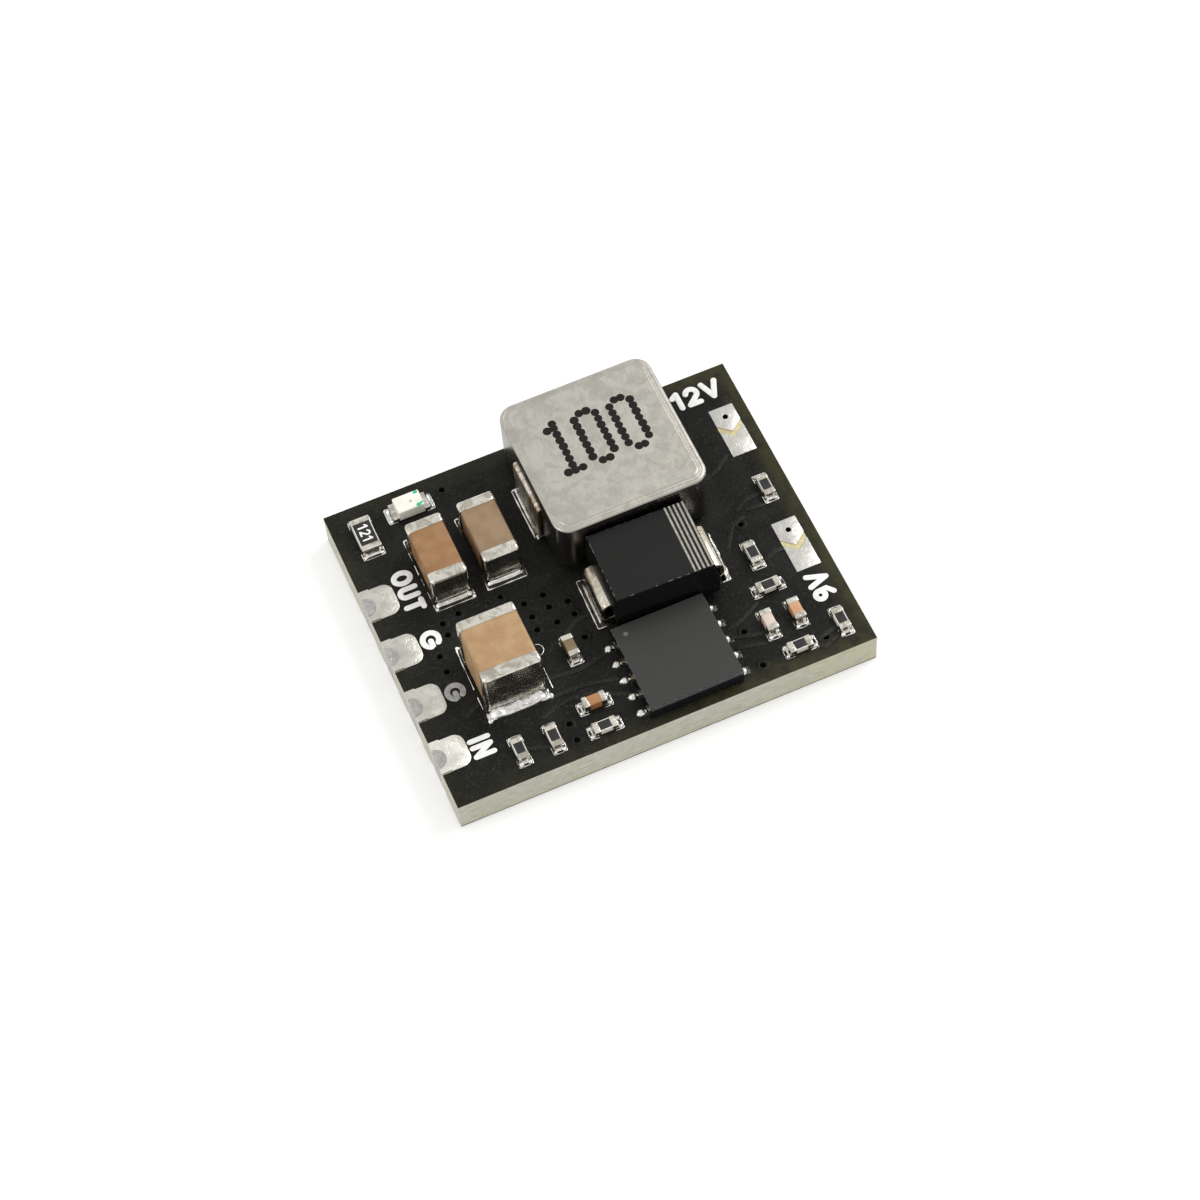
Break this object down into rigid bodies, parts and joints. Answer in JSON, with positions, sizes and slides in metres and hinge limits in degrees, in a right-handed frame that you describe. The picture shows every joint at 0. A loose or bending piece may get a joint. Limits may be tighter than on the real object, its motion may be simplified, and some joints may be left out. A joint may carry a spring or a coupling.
{
  "type": "buck converter module",
  "caption": "Small black circuit board that steps a voltage down, with an inductor, diode, chip, capacitors and solder contacts along its left edge.",
  "frame": {"origin": "bottom centre of the circuit board", "axes": "+X along the board's long side away from the edge contacts, +Y towards the inductor's end, +Z out of the component side"},
  "size_m": [0.018, 0.0148, 0.0046],
  "materials": {
    "laminate": "cut edge of glass and resin laminate",
    "solder_mask": "black solder mask, satin",
    "hole_solder": "dull solder in the half holes",
    "tinned_pad": "tinned copper, wrinkled",
    "tinned_lead": "bright tinned strip",
    "tinned_end": "tinned ends of chip parts",
    "solder": "bright solder",
    "copper": "copper",
    "core_metal": "pressed metal powder, satin grey",
    "diode_mould": "dark moulding compound",
    "chip_mould": "dark grey moulding compound",
    "light_ceramic": "light tan ceramic",
    "brown_ceramic": "brown ceramic",
    "pale_ceramic": "grey tan ceramic",
    "small_ceramic": "small ceramic bodies",
    "alumina": "white alumina",
    "resistor_coat": "black overcoat",
    "lamp_white": "white lamp base",
    "lamp_lens": "milky lens"
  },
  "bodies": {
    "root": {"laminate": "laminate", "top_mask": "solder_mask", "bottom_mask": "solder_mask", "input_contact": "tinned_pad", "input_ground_contact": "tinned_pad", "output_ground_contact": "tinned_pad", "output_contact": "tinned_pad", "contact_fills": "hole_solder", "via_barrels": "copper", "nine_volt_link": "tinned_pad", "twelve_volt_link": "tinned_pad", "inductor_core": "core_metal", "inductor_coil": "copper", "inductor_left_terminal": "tinned_lead", "inductor_right_terminal": "tinned_lead", "diode_body": "diode_mould", "diode_left_lead": "tinned_lead", "diode_right_lead": "tinned_lead", "converter_chip": "chip_mould", "chip_pins": "tinned_lead", "chip_heat_pad": "tinned_lead", "input_capacitor": "light_ceramic", "output_capacitor_left": "brown_ceramic", "output_capacitor_right": "pale_ceramic", "small_capacitor_1": "small_ceramic", "small_capacitor_2": "small_ceramic", "small_capacitor_3": "small_ceramic", "small_capacitor_4": "small_ceramic", "lamp_resistor": "alumina", "resistor_1": "alumina", "resistor_2": "alumina", "resistor_3": "alumina", "resistor_4": "alumina", "resistor_5": "alumina", "resistor_6": "alumina", "resistor_7": "alumina", "resistor_8": "alumina", "input_capacitor_ends": "tinned_end", "output_capacitor_left_ends": "tinned_end", "output_capacitor_right_ends": "tinned_end", "small_capacitor_1_ends": "tinned_end", "small_capacitor_2_ends": "tinned_end", "small_capacitor_3_ends": "tinned_end", "small_capacitor_4_ends": "tinned_end", "lamp_resistor_ends": "tinned_end", "resistor_1_ends": "tinned_end", "resistor_2_ends": "tinned_end", "resistor_3_ends": "tinned_end", "resistor_4_ends": "tinned_end", "resistor_5_ends": "tinned_end", "resistor_6_ends": "tinned_end", "resistor_7_ends": "tinned_end", "resistor_8_ends": "tinned_end", "resistor_coats": "resistor_coat", "lamp_base": "lamp_white", "lamp_lens": "lamp_lens", "lamp_ends": "tinned_end", "power_solder": "solder", "small_part_solder": "solder"}
  },
  "joints": []
}
